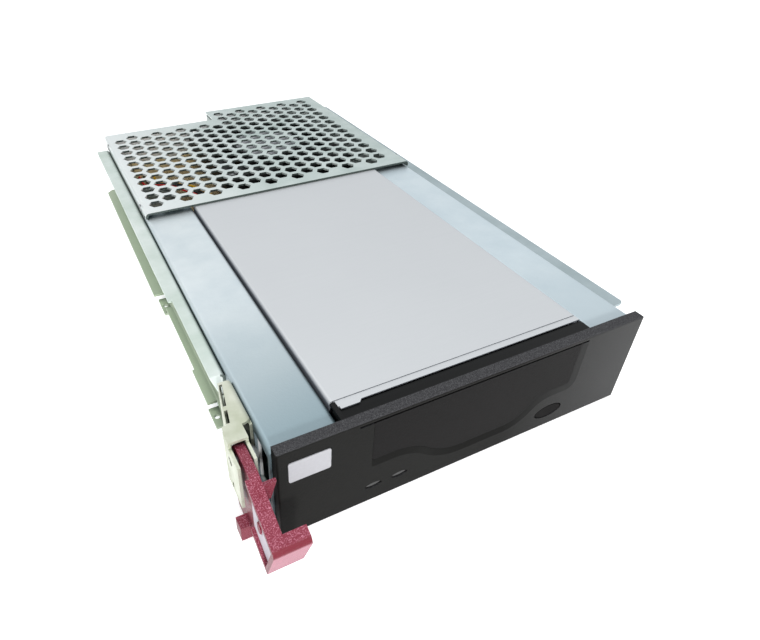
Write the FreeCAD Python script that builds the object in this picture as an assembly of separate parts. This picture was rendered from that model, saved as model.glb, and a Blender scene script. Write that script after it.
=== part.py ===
import FreeCAD, Part
import math
import os

# Hot-plug tape drive module: a sheet-metal tray carries a tape drive behind a wide front bezel.
# A perforated cover closes the rear bay with its fan, and an ejector lever sits at the front left.
# Millimetres. +Z is up, the bezel faces -Y, and the origin is the centre of the tray's underside.

V = FreeCAD.Vector

# Bezel and tray
bezel_width = 149.2
bezel_height = 41.3
bezel_depth = 4.2
bezel_lift = 0.2
bezel_wall = 2.6
bezel_rim = 2.0
bezel_edge_round = 0.6
side_reveal = 0.4
sheet = 1.0
bend = 0.8
step_depth = 17.0
step_from_left = 70.0

# Clearances
seat_gap = 0.2
open_gap = 0.35
running_gap = 0.05
hole_gap = 0.1

# Levels below the top of the bezel
plate_drop = 1.3
bracket_drop = 3.1
runner_drop = 5.1

# Side runners
runner_width = 8.1
ledge_height = 12.2
left_runner_front = 40.6
right_runner_front = 10.0
left_runner_end = 27.8
right_runner_end = 11.6
runner_corner = 2.0
flange_narrow_front = 90.6
flange_narrow = 1.6
ledge_end = 5.8
ledge_pad_back = 131.3
ledge_pad_front = 118.6
ledge_step = 72.6
ledge_front = 52.0
ledge_pad_drop = 3.0
ledge_pad_hole = 1.1
ledge_narrow = 2.6
ledge_middle = 1.6
ledge_corner = 3.0
tongue_length = 6.5
tongue_fall = 2.6
tongue_taper = 1.6
rivet_radius = 1.6
rivet_head = 2.7
rivet_head_height = 0.9
rivet_from_front = 62.0
rivet_from_bracket_end = 13.6
rivet_from_rear = 45.6
rivet_height = 24.0

# Rear cover
cover_overlap = 2.0
cover_skirt = 25.0
hole_pitch = 9.15
hole_column = 7.73
hole_flats = 6.5
hole_margin_side = 7.4
hole_margin_front = 8.8
hole_margin_rear = 8.5
flange_slot_length = 4.0
flange_slot_height = 1.3
flange_slot_pitch = 6.1
flange_slot_count = 3
cover_screw_inset = 13.0
cover_screw_drop = 2.5
cover_screw_radius = 1.25
cover_screw_head = 1.9
cover_screw_head_height = 0.5

# Adapter brackets
bracket_overrun = 3.0
bracket_foot = 2.0
relief_length = 11.5
relief_setback = 1.5
relief_bottom = 12.0
relief_top = 35.0

# Drive
drive_width = 101.6
drive_center = 1.5
drive_setback = 6.4
drive_length = 154.2
drive_floor = 1.4
drive_sheet = 1.6
lid_sheet = 0.8
lid_lip = 5.0
lid_strip = 2.6
lid_strip_drop = 0.35
lid_overhang = 1.8
lid_tab_width = 8.0
lid_tab_reach = 1.2
lid_tab_from_left = 2.6
drive_screw_front = 40.0
drive_screw_back = 42.6
drive_screw_height = 12.0
drive_screw_radius = 1.5
drive_screw_head = 2.8
drive_screw_head_height = 1.6
drive_screw_length = 6.0
pad_radius = 4.0

# Front moulding of the drive
moulding_depth = 6.2
moulding_post = 3.8
moulding_bar = 1.0
moulding_foot = 3.0
arm_width = 1.6
arm_length = 8.6
arm_height = 1.2
arm_inset = 0.2

# Tape door
door_width = 86.0
door_top = 38.9
door_head_gap = 1.2
door_shoulder_left = 21.2
door_shoulder_right = 19.6
door_bottom = 10.0
door_thick = 1.8
door_recess = 0.4
door_corner = 1.5
wave_left_start = 8.0
wave_left_end = 38.0
wave_right_start = 56.0
wave_right_end = 78.0
scoop_width = 2.6
scoop_depth = 1.2
hinge_height = 37.6
hinge_depth = 2.2
hinge_pin = 0.7
hinge_pin_length = 1.6
hinge_lug = 1.9
hinge_lug_height = 4.0
groove_reach = 5.5
groove_depth = 1.0

# Eject button, lights and badge
button_center = (37.2, 8.2)
button_size = (12.2, 5.4)
button_lip = 0.9
button_lip_thick = 0.8
button_travel = 1.2
button_gap = 0.5
button_sink = 0.1
button_stem = 1.2
light_centers = ((-40.4, 8.1), (-30.1, 8.1))
light_size = (6.2, 2.4)
light_recess = 0.4
light_radius = 0.9
badge_size = (14.2, 8.9)
badge_from_left = 3.5
badge_bottom = 27.1
badge_thick = 0.5
badge_sink = 0.3
badge_corner = 0.8
front_board_width = 92.0
front_board_height = 7.2
front_board_bottom = 2.4
front_board_thick = 1.2
front_board_depth = 8.6
switch_size = (4.6, 3.4)
switch_plunger = 1.0

# Latch bracket and ejector lever, measured outwards from the tray's left wall
latch_reach = 9.9
latch_middle_reach = 8.0
latch_back_reach = 4.6
latch_top = 39.0
latch_foot = 17.5
latch_back = 34.0
latch_middle = 15.1
latch_jog = 2.0
latch_plate_front = 13.8
latch_wall_front = 0.0
latch_wall_top = 36.4
latch_tongue_front = 8.0
latch_inner_top = 37.0
latch_inner_wall = 3.3
latch_inner_front = 0.9
latch_inner_back = 29.0
latch_corner = 3.0
latch_slot_width = 1.1
latch_slot_set = 0.3
latch_window_width = 1.4
latch_window_height = 2.6
latch_window_level = 20.3
latch_rivet_first = 18.0
latch_rivet_second = 28.0
latch_rivet_level = 27.0
lever_outer = 7.8
lever_inner = 4.6
lever_flare = 1.3
pivot_back = 7.6
pivot_level = 31.5
pivot_radius = 1.5
pivot_head = 2.4
pivot_head_height = 2.2
pivot_recess = 0.6
lever_eye = 4.4
lever_border = 1.9
lever_web = 3.0
lever_tail_reach = 10.2
lever_nose_reach = 32.3
lever_depth = 22.5
lever_top_slope = 23.3
lever_face_slope = 20.5
lever_foot_reach = 2.8
lever_foot_thick = 5.2
lever_foot_round = 2.4
fin_reach = 4.3
fin_height = 7.0
fin_drop = 1.2
fin_thick = 1.3
fin_set = 3.6
hook_width = 5.0
hook_height = 6.4
hook_level = 0.6
hook_reach = 11.4
hook_set = 2.6
tail_reach = 7.3
tail_level = 4.0
tail_taper = 1.8
label_thick = 0.3
label_inset = 0.4
boss_width = 2.6
boss_length = 4.4
boss_height = 0.8

# Drive mechanism
deck_level = 8.0
deck_thick = 1.6
deck_front = 30.0
deck_inset = 1.8
board_level = 4.4
board_thick = 1.6
post_radius = 2.5
post_seat_radius = 4.0
post_front = 44.0
post_back = 20.6
post_spread = 80.0
cage_width = 75.6
cage_height = 13.6
cage_length = 58.0
cage_front = 29.8
cage_clear = 3.8
cage_sheet = 0.8
cage_ledge = 8.0
cage_travel = 6.0
cage_rod_radius = 1.5
cage_ear = 4.0
reel_spread = 30.0
reel_station = 62.0
reel_flange = 8.0
reel_flange_thick = 1.2
reel_hub = 3.2
reel_height = 6.6
spindle_radius = 1.5
drum_from_back = 36.6
drum_radius = 15.0
drum_tilt = 6.0
drum_base_height = 9.0
drum_height = 8.0
drum_shaft = 2.0
drum_gap = 0.3

# Rear bay
fan_left_offset = -26.1
fan_front_gap = 27.0
fan_rear_gap = 23.0
fan_size = 80.0
fan_thick = 15.0
fan_drop = 3.0
fan_rim = 2.5
fan_blade_length = 16.5
fan_hub_plate = 1.5
fan_strut = 3.0
fan_hole_inset = 4.25
fan_hole = 2.15
fan_corner = 4.0
fan_blades = 7
fan_blade_thick = 1.3
fan_blade_lean = 34.0
fan_tip_gap = 1.0
fan_label_margin = 1.5
fan_label_thick = 0.3
fan_screw_head = 3.0
fan_screw_head_height = 1.5
cradle_lip = 11.0
cradle_foot = 10.0
cradle_left_inset = 16.0
cradle_right_inset = 2.0
cradle_lip_inset = 0.5
connector_offset = -13.3
connector_width = 54.0
connector_height = 13.0
connector_bottom = 8.0
connector_inside = 8.0
connector_outside = 3.5
connector_flange = 0.7
connector_slot_width = 44.0
connector_slot_height = 5.0
connector_slot_depth = 7.0
ribbon_inset = 3.2
ribbon_width = 37.0
ribbon_thick = 0.9
ribbon_bend = 9.0
ribbon_arch = 17.0
plug_depth = 6.0
plug_height = 6.0
drive_socket_depth = 3.0
drive_socket_level = 5.0
power_offset = -4.1
power_width = 21.0
power_height = 9.0
wire_radius = 0.7
wire_pitch = 5.08
wire_lead = 8.4
wire_step = 1.9
wire_tail = 14.0
wire_inset = 2.4
wire_end_pitch = 2.9

# Values worked out from the sizes above
left_end = -bezel_width / 2
drive_end = drive_setback + drive_length
tray_length = drive_end + fan_front_gap + fan_size + fan_rear_gap
cover_front = drive_end - cover_overlap
bracket_length = drive_end + bracket_overrun
front = -tray_length / 2
rear = tray_length / 2
face = front - seat_gap - bezel_depth
bezel_top = bezel_lift + bezel_height
half_tray = bezel_width / 2 - side_reveal
step_x = left_end + step_from_left
cover_outer = half_tray + sheet
plate_top = bezel_top - plate_drop
bracket_top = bezel_top - bracket_drop
runner_top = bezel_top - runner_drop
wall_top = bezel_top - sheet - bend - hole_gap
half_drive = drive_width / 2
half_lid = half_drive + lid_overhang
bracket_inner = half_lid + seat_gap
bracket_outer = half_tray + sheet
drive_front = front + drive_setback
drive_back = drive_front + drive_length
fan_top = bezel_top - fan_drop
fan_bottom = fan_top - fan_thick
left_rear = rear - step_depth
door_left = drive_center - door_width / 2
door_right = drive_center + door_width / 2
hinge_y = face + hinge_depth
hinge_z = bezel_lift + hinge_height
cage_rest = deck_level + deck_thick + cage_clear + cage_travel
drive_left = drive_center - half_drive
connector_left = drive_left + connector_offset
fan_left = drive_center + fan_left_offset
fan_front = drive_back + fan_front_gap
fan_x = fan_left + fan_size / 2
fan_y = fan_front + fan_size / 2
fan_bore = fan_size / 2 - fan_rim
fan_hub = fan_bore - fan_blade_length
drive_screw_stations = (drive_screw_front, drive_end - drive_screw_back)
post_stations = (post_front, drive_end - post_back)
rivet_stations = (rivet_from_front, bracket_length - rivet_from_bracket_end, tray_length - rivet_from_rear)
cover_screw_stations = (cover_front + cover_screw_inset, tray_length - step_depth - cover_screw_inset)
latch_rivet_stations = (latch_rivet_first, latch_rivet_second)


def box(x, y, z):
    """Block between two values on each axis."""
    return Part.makeBox(x[1] - x[0], y[1] - y[0], z[1] - z[0], V(x[0], y[0], z[0]))


def place_xy(a, b, level):
    return V(a, b, level)


def place_xz(a, b, level):
    return V(a, level, b)


def place_yz(a, b, level):
    return V(level, a, b)


PLANES = {"xy": place_xy, "xz": place_xz, "yz": place_yz}


def rounded_wire(points, plane, level):
    """Closed wire through points; a third number on a point rounds that corner by its radius."""
    put = PLANES[plane]
    flat = [FreeCAD.Base.Vector2d(p[0], p[1]) for p in points]
    count = len(flat)
    starts = []
    arcs = []
    for i, point in enumerate(points):
        here = V(flat[i].x, flat[i].y, 0)
        before = V(flat[i - 1].x, flat[i - 1].y, 0)
        after = V(flat[(i + 1) % count].x, flat[(i + 1) % count].y, 0)
        radius = point[2] if len(point) > 2 else 0
        if radius <= 0:
            starts.append((here, here))
            arcs.append(None)
            continue
        back_way = (before - here).normalize()
        on_way = (after - here).normalize()
        half_angle = back_way.getAngle(on_way) / 2
        reach = radius / math.tan(half_angle)
        inward = (back_way + on_way).normalize()
        middle = here + inward * (radius / math.sin(half_angle) - radius)
        starts.append((here + back_way * reach, here + on_way * reach))
        arcs.append(middle)
    edges = []
    for i in range(count):
        enter, leave = starts[i]
        if arcs[i] is not None:
            bow = [put(p.x, p.y, level) for p in (enter, arcs[i], leave)]
            edges.append(Part.Arc(*bow).toShape())
        following = starts[(i + 1) % count][0]
        if (following - leave).Length > 1e-6:
            ends = [put(p.x, p.y, level) for p in (leave, following)]
            edges.append(Part.LineSegment(*ends).toShape())
    return Part.Wire(edges)


def prism(points, plane, low, high):
    """Outline in one plane, carried straight from low to high."""
    put = PLANES[plane]
    outline = Part.Face(rounded_wire(points, plane, low))
    return outline.extrude(put(0, 0, high - low))


def strip(path, thick, radius):
    """Outline of a bent sheet whose one side follows the path, with the sheet on the path's left."""
    ways = []
    for start, end in zip(path[:-1], path[1:]):
        length = math.hypot(end[0] - start[0], end[1] - start[1])
        ways.append(((end[0] - start[0]) / length, (end[1] - start[1]) / length))
    near = []
    far = []
    for i, point in enumerate(path):
        before = ways[max(i - 1, 0)]
        after = ways[min(i, len(ways) - 1)]
        turn = before[0] * after[1] - before[1] * after[0]
        lean = 1 + before[0] * after[0] + before[1] * after[1]
        shift = (-(before[1] + after[1]) / lean, (before[0] + after[0]) / lean)
        inner = radius if abs(turn) > 1e-9 else 0
        outer = radius + thick if abs(turn) > 1e-9 else 0
        near.append((point[0], point[1], outer if turn > 0 else inner))
        far.append((point[0] + shift[0] * thick, point[1] + shift[1] * thick, inner if turn > 0 else outer))
    return near + far[::-1]


def ellipse_prism(center, size, low, high):
    """Upright ellipse seen from the front, carried along Y."""
    curve = Part.Ellipse(V(0, 0, 0), size[0] / 2, size[1] / 2).toShape()
    turn = FreeCAD.Rotation(V(1, 0, 0), 90)
    curve.Placement = FreeCAD.Placement(V(center[0], low, bezel_lift + center[1]), turn)
    return Part.Face(Part.Wire([curve])).extrude(V(0, high - low, 0))


def rod(radius, start, end):
    """Round bar from one point to another."""
    along = end - start
    return Part.makeCylinder(radius, along.Length, start, along)


def turned(profile, at, axis):
    """Profile of (radius, height) points spun round an axis that starts at a point."""
    outline = Part.Face(rounded_wire(profile, "xz", 0))
    solid = outline.revolve(V(0, 0, 0), V(0, 0, 1), 360)
    solid.Placement = FreeCAD.Placement(at, FreeCAD.Rotation(V(0, 0, 1), axis))
    return solid


def fastener(at, axis, head, head_height, shank, length):
    """Screw or rivet with its head's seat at a point and its head along the axis."""
    dome = head * 0.7
    profile = ((0, -length), (shank, -length), (shank, 0), (head, 0), (head, head_height / 2),
               (dome, head_height))
    return turned(profile + ((0, head_height),), at, axis)


def mirrored(shape):
    """The same piece on the other side."""
    return shape.mirror(V(0, 0, 0), V(1, 0, 0))


def joined(shapes):
    """One solid from touching shapes."""
    return shapes[0].fuse(shapes[1:]).removeSplitter()


def group(shapes):
    return Part.makeCompound(shapes)


# Sheet-metal chassis

def rivet_points(side):
    """Points on the outer face of a runner's web where its rivets go."""
    return [V(side * (cover_outer + sheet), front + station, rivet_height) for station in rivet_stations]


def rivet_holes(side):
    reach = V(-side * 4 * sheet, 0, 0)
    out = V(side * sheet, 0, 0)
    return [rod(rivet_radius + hole_gap, point + out, point + reach) for point in rivet_points(side)]


def cover_screw_points(side):
    level = bezel_top - cover_screw_drop
    return [V(side * cover_outer, front + station, level) for station in cover_screw_stations]


def cover_screw_holes(side):
    reach = V(-side * 2.5 * sheet, 0, 0)
    out = V(side * sheet, 0, 0)
    radius = cover_screw_radius + hole_gap
    return [rod(radius, point + out, point + reach) for point in cover_screw_points(side)]


def connector_window(gap):
    """Block of the rear connector's body, grown by a gap."""
    x = (connector_left - gap, connector_left + connector_width + gap)
    z = (bezel_lift + connector_bottom - gap, bezel_lift + connector_bottom + connector_height + gap)
    y = (left_rear - sheet - connector_inside, left_rear + connector_outside)
    return box(x, y, z)


def latch_rivet_points():
    out = -cover_outer - sheet
    return [V(out, front + station, latch_rivet_level) for station in latch_rivet_stations]


def latch_rivet_holes():
    reach = V(4 * sheet, 0, 0)
    out = V(-sheet, 0, 0)
    return [rod(rivet_radius + hole_gap, point + out, point + reach) for point in latch_rivet_points()]


def side_relief():
    """Opening in the left side behind the bezel, beside the ejector lever."""
    y = (front + relief_setback, front + relief_setback + relief_length)
    return box((-cover_outer - sheet, -half_tray + 2 * sheet), y, (relief_bottom, relief_top))


def tray_pan():
    def section(top):
        return ((-half_tray, top), (-half_tray, 0), (half_tray, 0), (half_tray, top))
    bay_front = front + bracket_length + seat_gap
    low = prism(strip(section(runner_top), sheet, bend), "xz", front, bay_front)
    high = prism(strip(section(wall_top), sheet, bend), "xz", bay_front, rear)
    notch = box((-half_tray - sheet, step_x), (left_rear, rear + sheet), (-sheet, bezel_top))
    end_path = ((half_tray, rear), (step_x, rear), (step_x, left_rear), (-half_tray, left_rear))
    end_wall = prism(strip(end_path, sheet, bend), "xy", 0, wall_top)
    pan = joined([low, high.cut(notch), end_wall])
    holes = [connector_window(seat_gap), side_relief()] + latch_rivet_holes()
    for side in (-1, 1):
        holes += rivet_holes(side) + cover_screw_holes(side)
    return pan.cut(holes)


def runner_section():
    wall = cover_outer
    edge = half_tray + runner_width
    path = ((edge, runner_top), (wall, runner_top), (wall, ledge_height), (edge, ledge_height))
    return strip(path, sheet, bend)


def runner_tongue(tip):
    """Lead-in at the left runner's front end: a tapering flap that falls away from the flange."""
    top = runner_top
    outer = half_tray + runner_width - flange_narrow
    inner = cover_outer + sheet + bend
    y = front + tip
    wide = [V(-outer, y, top), V(-inner, y, top), V(-inner, y, top - sheet), V(-outer, y, top - sheet)]
    slide = V(0, -tongue_length, -tongue_fall)
    taper_out = V(tongue_taper, 0, 0)
    taper_in = V(-tongue_taper / 3, 0, 0)
    tapers = (taper_out, taper_in, taper_in, taper_out)
    narrow = [corner + slide + taper for corner, taper in zip(wide, tapers)]
    ends = [Part.makePolygon(corners + corners[:1]) for corners in (wide, narrow)]
    return Part.makeLoft(ends, True, True)


def left_runner():
    runner_back = tray_length - left_runner_end
    ledge_back = runner_back - ledge_end
    body = mirrored(prism(runner_section(), "xz", front + left_runner_front, front + runner_back))
    edge = -half_tray - runner_width
    ledge = (ledge_height - sheet, ledge_height + 2 * sheet + bend)
    flange = (runner_top - 2 * sheet, runner_top + sheet)
    web_face = -cover_outer - sheet - bend

    def trim(start, end, outer, z):
        return box((edge - sheet, outer), (front + start, front + end), z)
    cuts = [
        trim(ledge_back, runner_back + sheet, web_face, ledge),
        trim(ledge_pad_front, ledge_pad_back, web_face, ledge),
        trim(ledge_step, ledge_pad_front, edge + ledge_narrow, ledge),
        trim(ledge_front, ledge_step, edge + ledge_middle, ledge),
        trim(left_runner_front - sheet, ledge_front, web_face, ledge),
        trim(left_runner_front - sheet, flange_narrow_front, edge + flange_narrow, flange),
    ]
    corner = front + ledge_back
    corner_points = ((edge - sheet, corner + sheet), (edge + ledge_corner, corner + sheet),
                     (edge + ledge_corner, corner), (edge, corner - ledge_corner),
                     (edge - sheet, corner - ledge_corner))
    cuts.append(prism(corner_points, "xy", ledge[0], ledge[1]))
    body = body.cut(cuts)
    pads = []
    for start, end in ((ledge_pad_front, ledge_pad_back), (left_runner_front + sheet, ledge_front)):
        y = (front + start, front + end)
        drop = ledge_height - ledge_pad_drop
        pad_top = ledge_height + sheet + bend
        path = ((edge + ledge_middle, drop), (-cover_outer, drop), (-cover_outer, pad_top))
        pad = prism(strip(path, sheet, bend), "xz", y[0], y[1])
        center = V((edge - cover_outer) / 2, (y[0] + y[1]) / 2, drop - sheet)
        pads.append(pad.cut(Part.makeCylinder(ledge_pad_hole, 3 * sheet, center)))
    return joined([body, runner_tongue(left_runner_front)] + pads).cut(rivet_holes(-1))


def right_runner():
    y = (front + right_runner_front, front + tray_length - right_runner_end)
    body = prism(runner_section(), "xz", y[0], y[1])
    edge = half_tray + runner_width
    r = runner_corner
    outline = ((half_tray, y[0]), (edge, y[0], r), (edge, y[1], r), (half_tray, y[1]))
    return body.common(prism(outline, "xy", 0, bezel_top)).cut(rivet_holes(1))


def bracket(side):
    """Inverted channel that hangs over the tray's side wall and closes the space beside the drive."""
    outer = side * bracket_outer
    inner = drive_center + side * bracket_inner
    path = ((outer, bracket_foot), (outer, bracket_top), (inner, bracket_top), (inner, bracket_foot))
    if side < 0:
        path = path[::-1]
    body = prism(strip(path, sheet, bend), "xz", front, front + bracket_length)
    holes = rivet_holes(side) + [drive_screw_hole(side, station) for station in drive_screw_stations]
    if side < 0:
        holes += latch_rivet_holes() + [side_relief()]
    return body.cut(holes)


def hexagon(x, y, level):
    radius = hole_flats / math.sqrt(3)
    turns = [math.radians(60 * k) for k in range(7)]
    return Part.makePolygon([V(x + radius * math.cos(t), y + radius * math.sin(t), level) for t in turns])


def hole_centers():
    """Hexagonal lattice of the perforation, kept clear of every edge of the cover."""
    start_y = front + cover_front + hole_margin_front
    centers = []
    x = -cover_outer + hole_margin_side
    odd = False
    while x <= cover_outer - hole_margin_side:
        end = left_rear if x < step_x + hole_flats / 2 else rear
        y = start_y + (hole_pitch / 2 if odd else 0)
        while y <= end - hole_margin_rear:
            centers.append((x, y))
            y += hole_pitch
        x += hole_column
        odd = not odd
    return centers


def rear_cover():
    level = bezel_top - sheet
    start = front + cover_front
    edge = cover_outer - sheet - bend
    outline = ((-edge, start), (edge, start), (edge, rear), (step_x, rear), (step_x, left_rear),
               (-edge, left_rear))
    holes = [hexagon(x, y, level) for x, y in hole_centers()]
    plate = Part.Face([rounded_wire(outline, "xy", level)] + holes).extrude(V(0, 0, sheet))
    skirt_path = ((cover_outer, bezel_top - cover_skirt), (cover_outer, bezel_top), (edge, bezel_top))
    skirt = strip(skirt_path, sheet, bend)
    right_skirt = prism(skirt, "xz", start, rear)
    left_skirt = mirrored(prism(skirt, "xz", start, left_rear))
    foot = bracket_top + seat_gap
    skirt_start = front + bracket_length + seat_gap
    over_bracket = box((-cover_outer - sheet, cover_outer + sheet), (start - sheet, skirt_start), (0, foot))
    parts = [plate, right_skirt.cut(over_bracket), left_skirt.cut(over_bracket)]
    for side in (-1, 1):
        near = drive_center + side * (bracket_inner + sheet)
        far = side * edge
        wall = box((min(near, far), max(near, far)), (start, start + sheet), (foot, bezel_top))
        middle = (near + far) / 2
        for k in range(flange_slot_count):
            x = middle + (k - (flange_slot_count - 1) / 2) * flange_slot_pitch
            slot_x = (x - flange_slot_length / 2, x + flange_slot_length / 2)
            z = (foot + level) / 2
            slot_z = (z - flange_slot_height / 2, z + flange_slot_height / 2)
            wall = wall.cut(box(slot_x, (start - sheet, start + 2 * sheet), slot_z))
        parts.append(wall)
    holes = cover_screw_holes(-1) + cover_screw_holes(1) + rivet_holes(-1) + rivet_holes(1)
    return joined(parts).cut(holes)


def runner_rivets():
    length = 3 * sheet
    rivets = []
    for side in (-1, 1):
        for point in rivet_points(side):
            rivets.append(fastener(point, V(side, 0, 0), rivet_head, rivet_head_height, rivet_radius, length))
    return group(rivets)


def cover_screws():
    size = (cover_screw_head, cover_screw_head_height, cover_screw_radius, 2 * sheet)
    return group([fastener(point, V(side, 0, 0), *size)
                  for side in (-1, 1) for point in cover_screw_points(side)])


# Drive shell

def drive_screw_point(side, station):
    """Where a drive screw's head seats on the inside of an adapter bracket."""
    return V(drive_center + side * (bracket_inner + sheet), front + station, drive_screw_height)


def drive_screw_hole(side, station):
    point = drive_screw_point(side, station)
    depth = V(-side * (drive_screw_length + hole_gap), 0, 0)
    return rod(drive_screw_radius + hole_gap, point + V(side * sheet, 0, 0), point + depth)


def drive_frame():
    top = plate_top - lid_sheet
    left = drive_center - half_drive
    right = drive_center + half_drive
    path = ((left, top), (left, drive_floor), (right, drive_floor), (right, top))
    shell = prism(strip(path, drive_sheet, bend), "xz", drive_front, drive_back)
    inside = half_drive - drive_sheet
    back_x = (drive_center - inside, drive_center + inside)
    back_wall = box(back_x, (drive_back - drive_sheet, drive_back), (drive_floor, top))
    parts = [shell, back_wall]
    for x in (-post_spread / 2, post_spread / 2):
        for station in post_stations:
            profile = ((0, drive_floor), (post_seat_radius, drive_floor), (post_seat_radius, board_level),
                       (post_radius, board_level), (post_radius, deck_level), (0, deck_level))
            parts.append(turned(profile, V(drive_center + x, front + station, 0), V(0, 0, 1)))
    for side in (-1, 1):
        for station in drive_screw_stations:
            seat = drive_screw_point(side, station)
            inner_end = V(drive_center + side * inside, seat.y, seat.z)
            outer_end = V(drive_center + side * bracket_inner, seat.y, seat.z)
            parts.append(rod(pad_radius, inner_end, outer_end))
    body = joined(parts)
    cuts = [drive_screw_hole(side, station) for side in (-1, 1) for station in drive_screw_stations]
    cuts += [data_socket_block(seat_gap), power_socket_block(seat_gap)]
    return body.cut(cuts)


def drive_screws():
    size = (drive_screw_head, drive_screw_head_height, drive_screw_radius, drive_screw_length)
    return group([fastener(drive_screw_point(side, station), V(side, 0, 0), *size)
                  for side in (-1, 1) for station in drive_screw_stations])


def drive_lid():
    left = drive_center - half_lid
    right = drive_center + half_lid
    foot = plate_top - lid_lip
    path = ((right, foot), (right, plate_top), (left, plate_top), (left, foot))
    start = drive_front + seat_gap
    lid = prism(strip(path, lid_sheet, bend), "xz", start, drive_back + seat_gap)
    low = plate_top - lid_strip_drop
    above = plate_top + sheet
    strip_cut = box((left - sheet, right + sheet), (start - sheet, start + lid_strip), (low, above))
    arm_x, arm_y = arm_span()
    notch = box((left - sheet, arm_x[1] + open_gap), (start - sheet, arm_y[1] + open_gap), (0, above))
    tab_x = left + lid_tab_from_left
    tab_outline = ((tab_x, start + lid_strip), (tab_x, start - lid_tab_reach),
                   (tab_x + lid_tab_width - lid_tab_reach, start - lid_tab_reach),
                   (tab_x + lid_tab_width, start), (tab_x + lid_tab_width, start + lid_strip))
    tab = prism(tab_outline, "xy", plate_top - lid_sheet, low)
    return joined([lid.cut([strip_cut, notch]), tab])


def arm_span():
    """Where the moulding's clip arm lies, across and along the module."""
    x = drive_center - half_lid + arm_inset
    y = face + bezel_depth + seat_gap
    return (x, x + arm_width), (y, y + arm_length)


def front_moulding():
    bar = (plate_top - lid_sheet - seat_gap - moulding_bar, plate_top - lid_sheet - seat_gap)
    back_y = front + moulding_depth
    half_bar = half_lid
    parts = [box((drive_center - half_bar, drive_center + half_bar), (face + bezel_depth, back_y), bar)]
    for side in (-1, 1):
        x = sorted((drive_center + side * half_bar, drive_center + side * (half_bar - moulding_post)))
        parts.append(box(x, (face + bezel_wall, back_y), (moulding_foot, bar[0])))
    x, y = arm_span()
    r = arm_width * 0.49
    outline = ((x[0], y[0]), (x[1], y[0]), (x[1], y[1], r), (x[0], y[1], r))
    parts.append(prism(outline, "xy", bar[1], bar[1] + arm_height))
    return joined(parts)


# Bezel, door, button and lights

def door_outline(grow, level, head=0):
    """Door seen from the front: straight top, and a lower edge that dips in two reverse curves."""
    left = door_left - grow
    right = door_right + grow
    top = bezel_lift + door_top + head
    bottom = bezel_lift + door_bottom
    corner = door_corner + grow

    def reverse_curve(high_x, low_x, shoulder):
        run = low_x - high_x
        fall = shoulder - bottom
        radius = (run * run + fall * fall) / (4 * fall)
        upper = V(high_x, 0, shoulder - radius)
        lower = V(low_x, 0, bottom + radius)
        across = (lower - upper).normalize()
        meet = upper + across * (radius - grow)
        bow_high = upper + (V(0, 0, 1) + across).normalize() * (radius - grow)
        bow_low = lower + (V(0, 0, -1) - across).normalize() * (radius + grow)
        high = V(high_x, 0, shoulder - grow)
        low = V(low_x, 0, bottom - grow)
        return high, bow_high, meet, bow_low, low

    def low_corner(edge, way, base):
        nook = corner * (1 - math.sqrt(0.5))
        bow = V(edge + way * nook, 0, base + nook)
        return [V(edge, 0, base + corner), bow, V(edge + way * corner, 0, base)]
    shoulder_left = bezel_lift + door_shoulder_left
    shoulder_right = bezel_lift + door_shoulder_right
    a = reverse_curve(door_left + wave_left_start, door_left + wave_left_end, shoulder_left)
    b = reverse_curve(door_left + wave_right_end, door_left + wave_right_start, shoulder_right)
    left_low = low_corner(left, 1, shoulder_left - grow)
    right_low = low_corner(right, -1, shoulder_right - grow)
    top_left = V(left, 0, top)
    top_right = V(right, 0, top)
    edges = [
        Part.LineSegment(top_left, left_low[0]), Part.Arc(*left_low), Part.LineSegment(left_low[2], a[0]),
        Part.Arc(a[0], a[1], a[2]), Part.Arc(a[2], a[3], a[4]), Part.LineSegment(a[4], b[4]),
        Part.Arc(b[4], b[3], b[2]), Part.Arc(b[2], b[1], b[0]), Part.LineSegment(b[0], right_low[2]),
        Part.Arc(*right_low[::-1]), Part.LineSegment(right_low[0], top_right),
        Part.LineSegment(top_right, top_left),
    ]
    wire = Part.Wire([edge.toShape() for edge in edges])
    wire.translate(V(0, level, 0))
    return wire


def door_prism(grow, low, high, head=0):
    return Part.Face(door_outline(grow, low, head)).extrude(V(0, high - low, 0))


def hinge_pin_rod(side, radius, extra):
    """Moulded pivot at one end of the door."""
    start = door_left if side < 0 else door_right
    length = hinge_pin_length + extra
    inset = V(side * -sheet, 0, 0)
    base = V(start, hinge_y, hinge_z)
    return rod(radius, base + inset, base + V(side * length, 0, 0))


def tape_door():
    plate = door_prism(0, face + door_recess, face + door_recess + door_thick)
    pins = [hinge_pin_rod(side, hinge_pin, 0) for side in (-1, 1)]
    return joined([plate] + pins)


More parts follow.
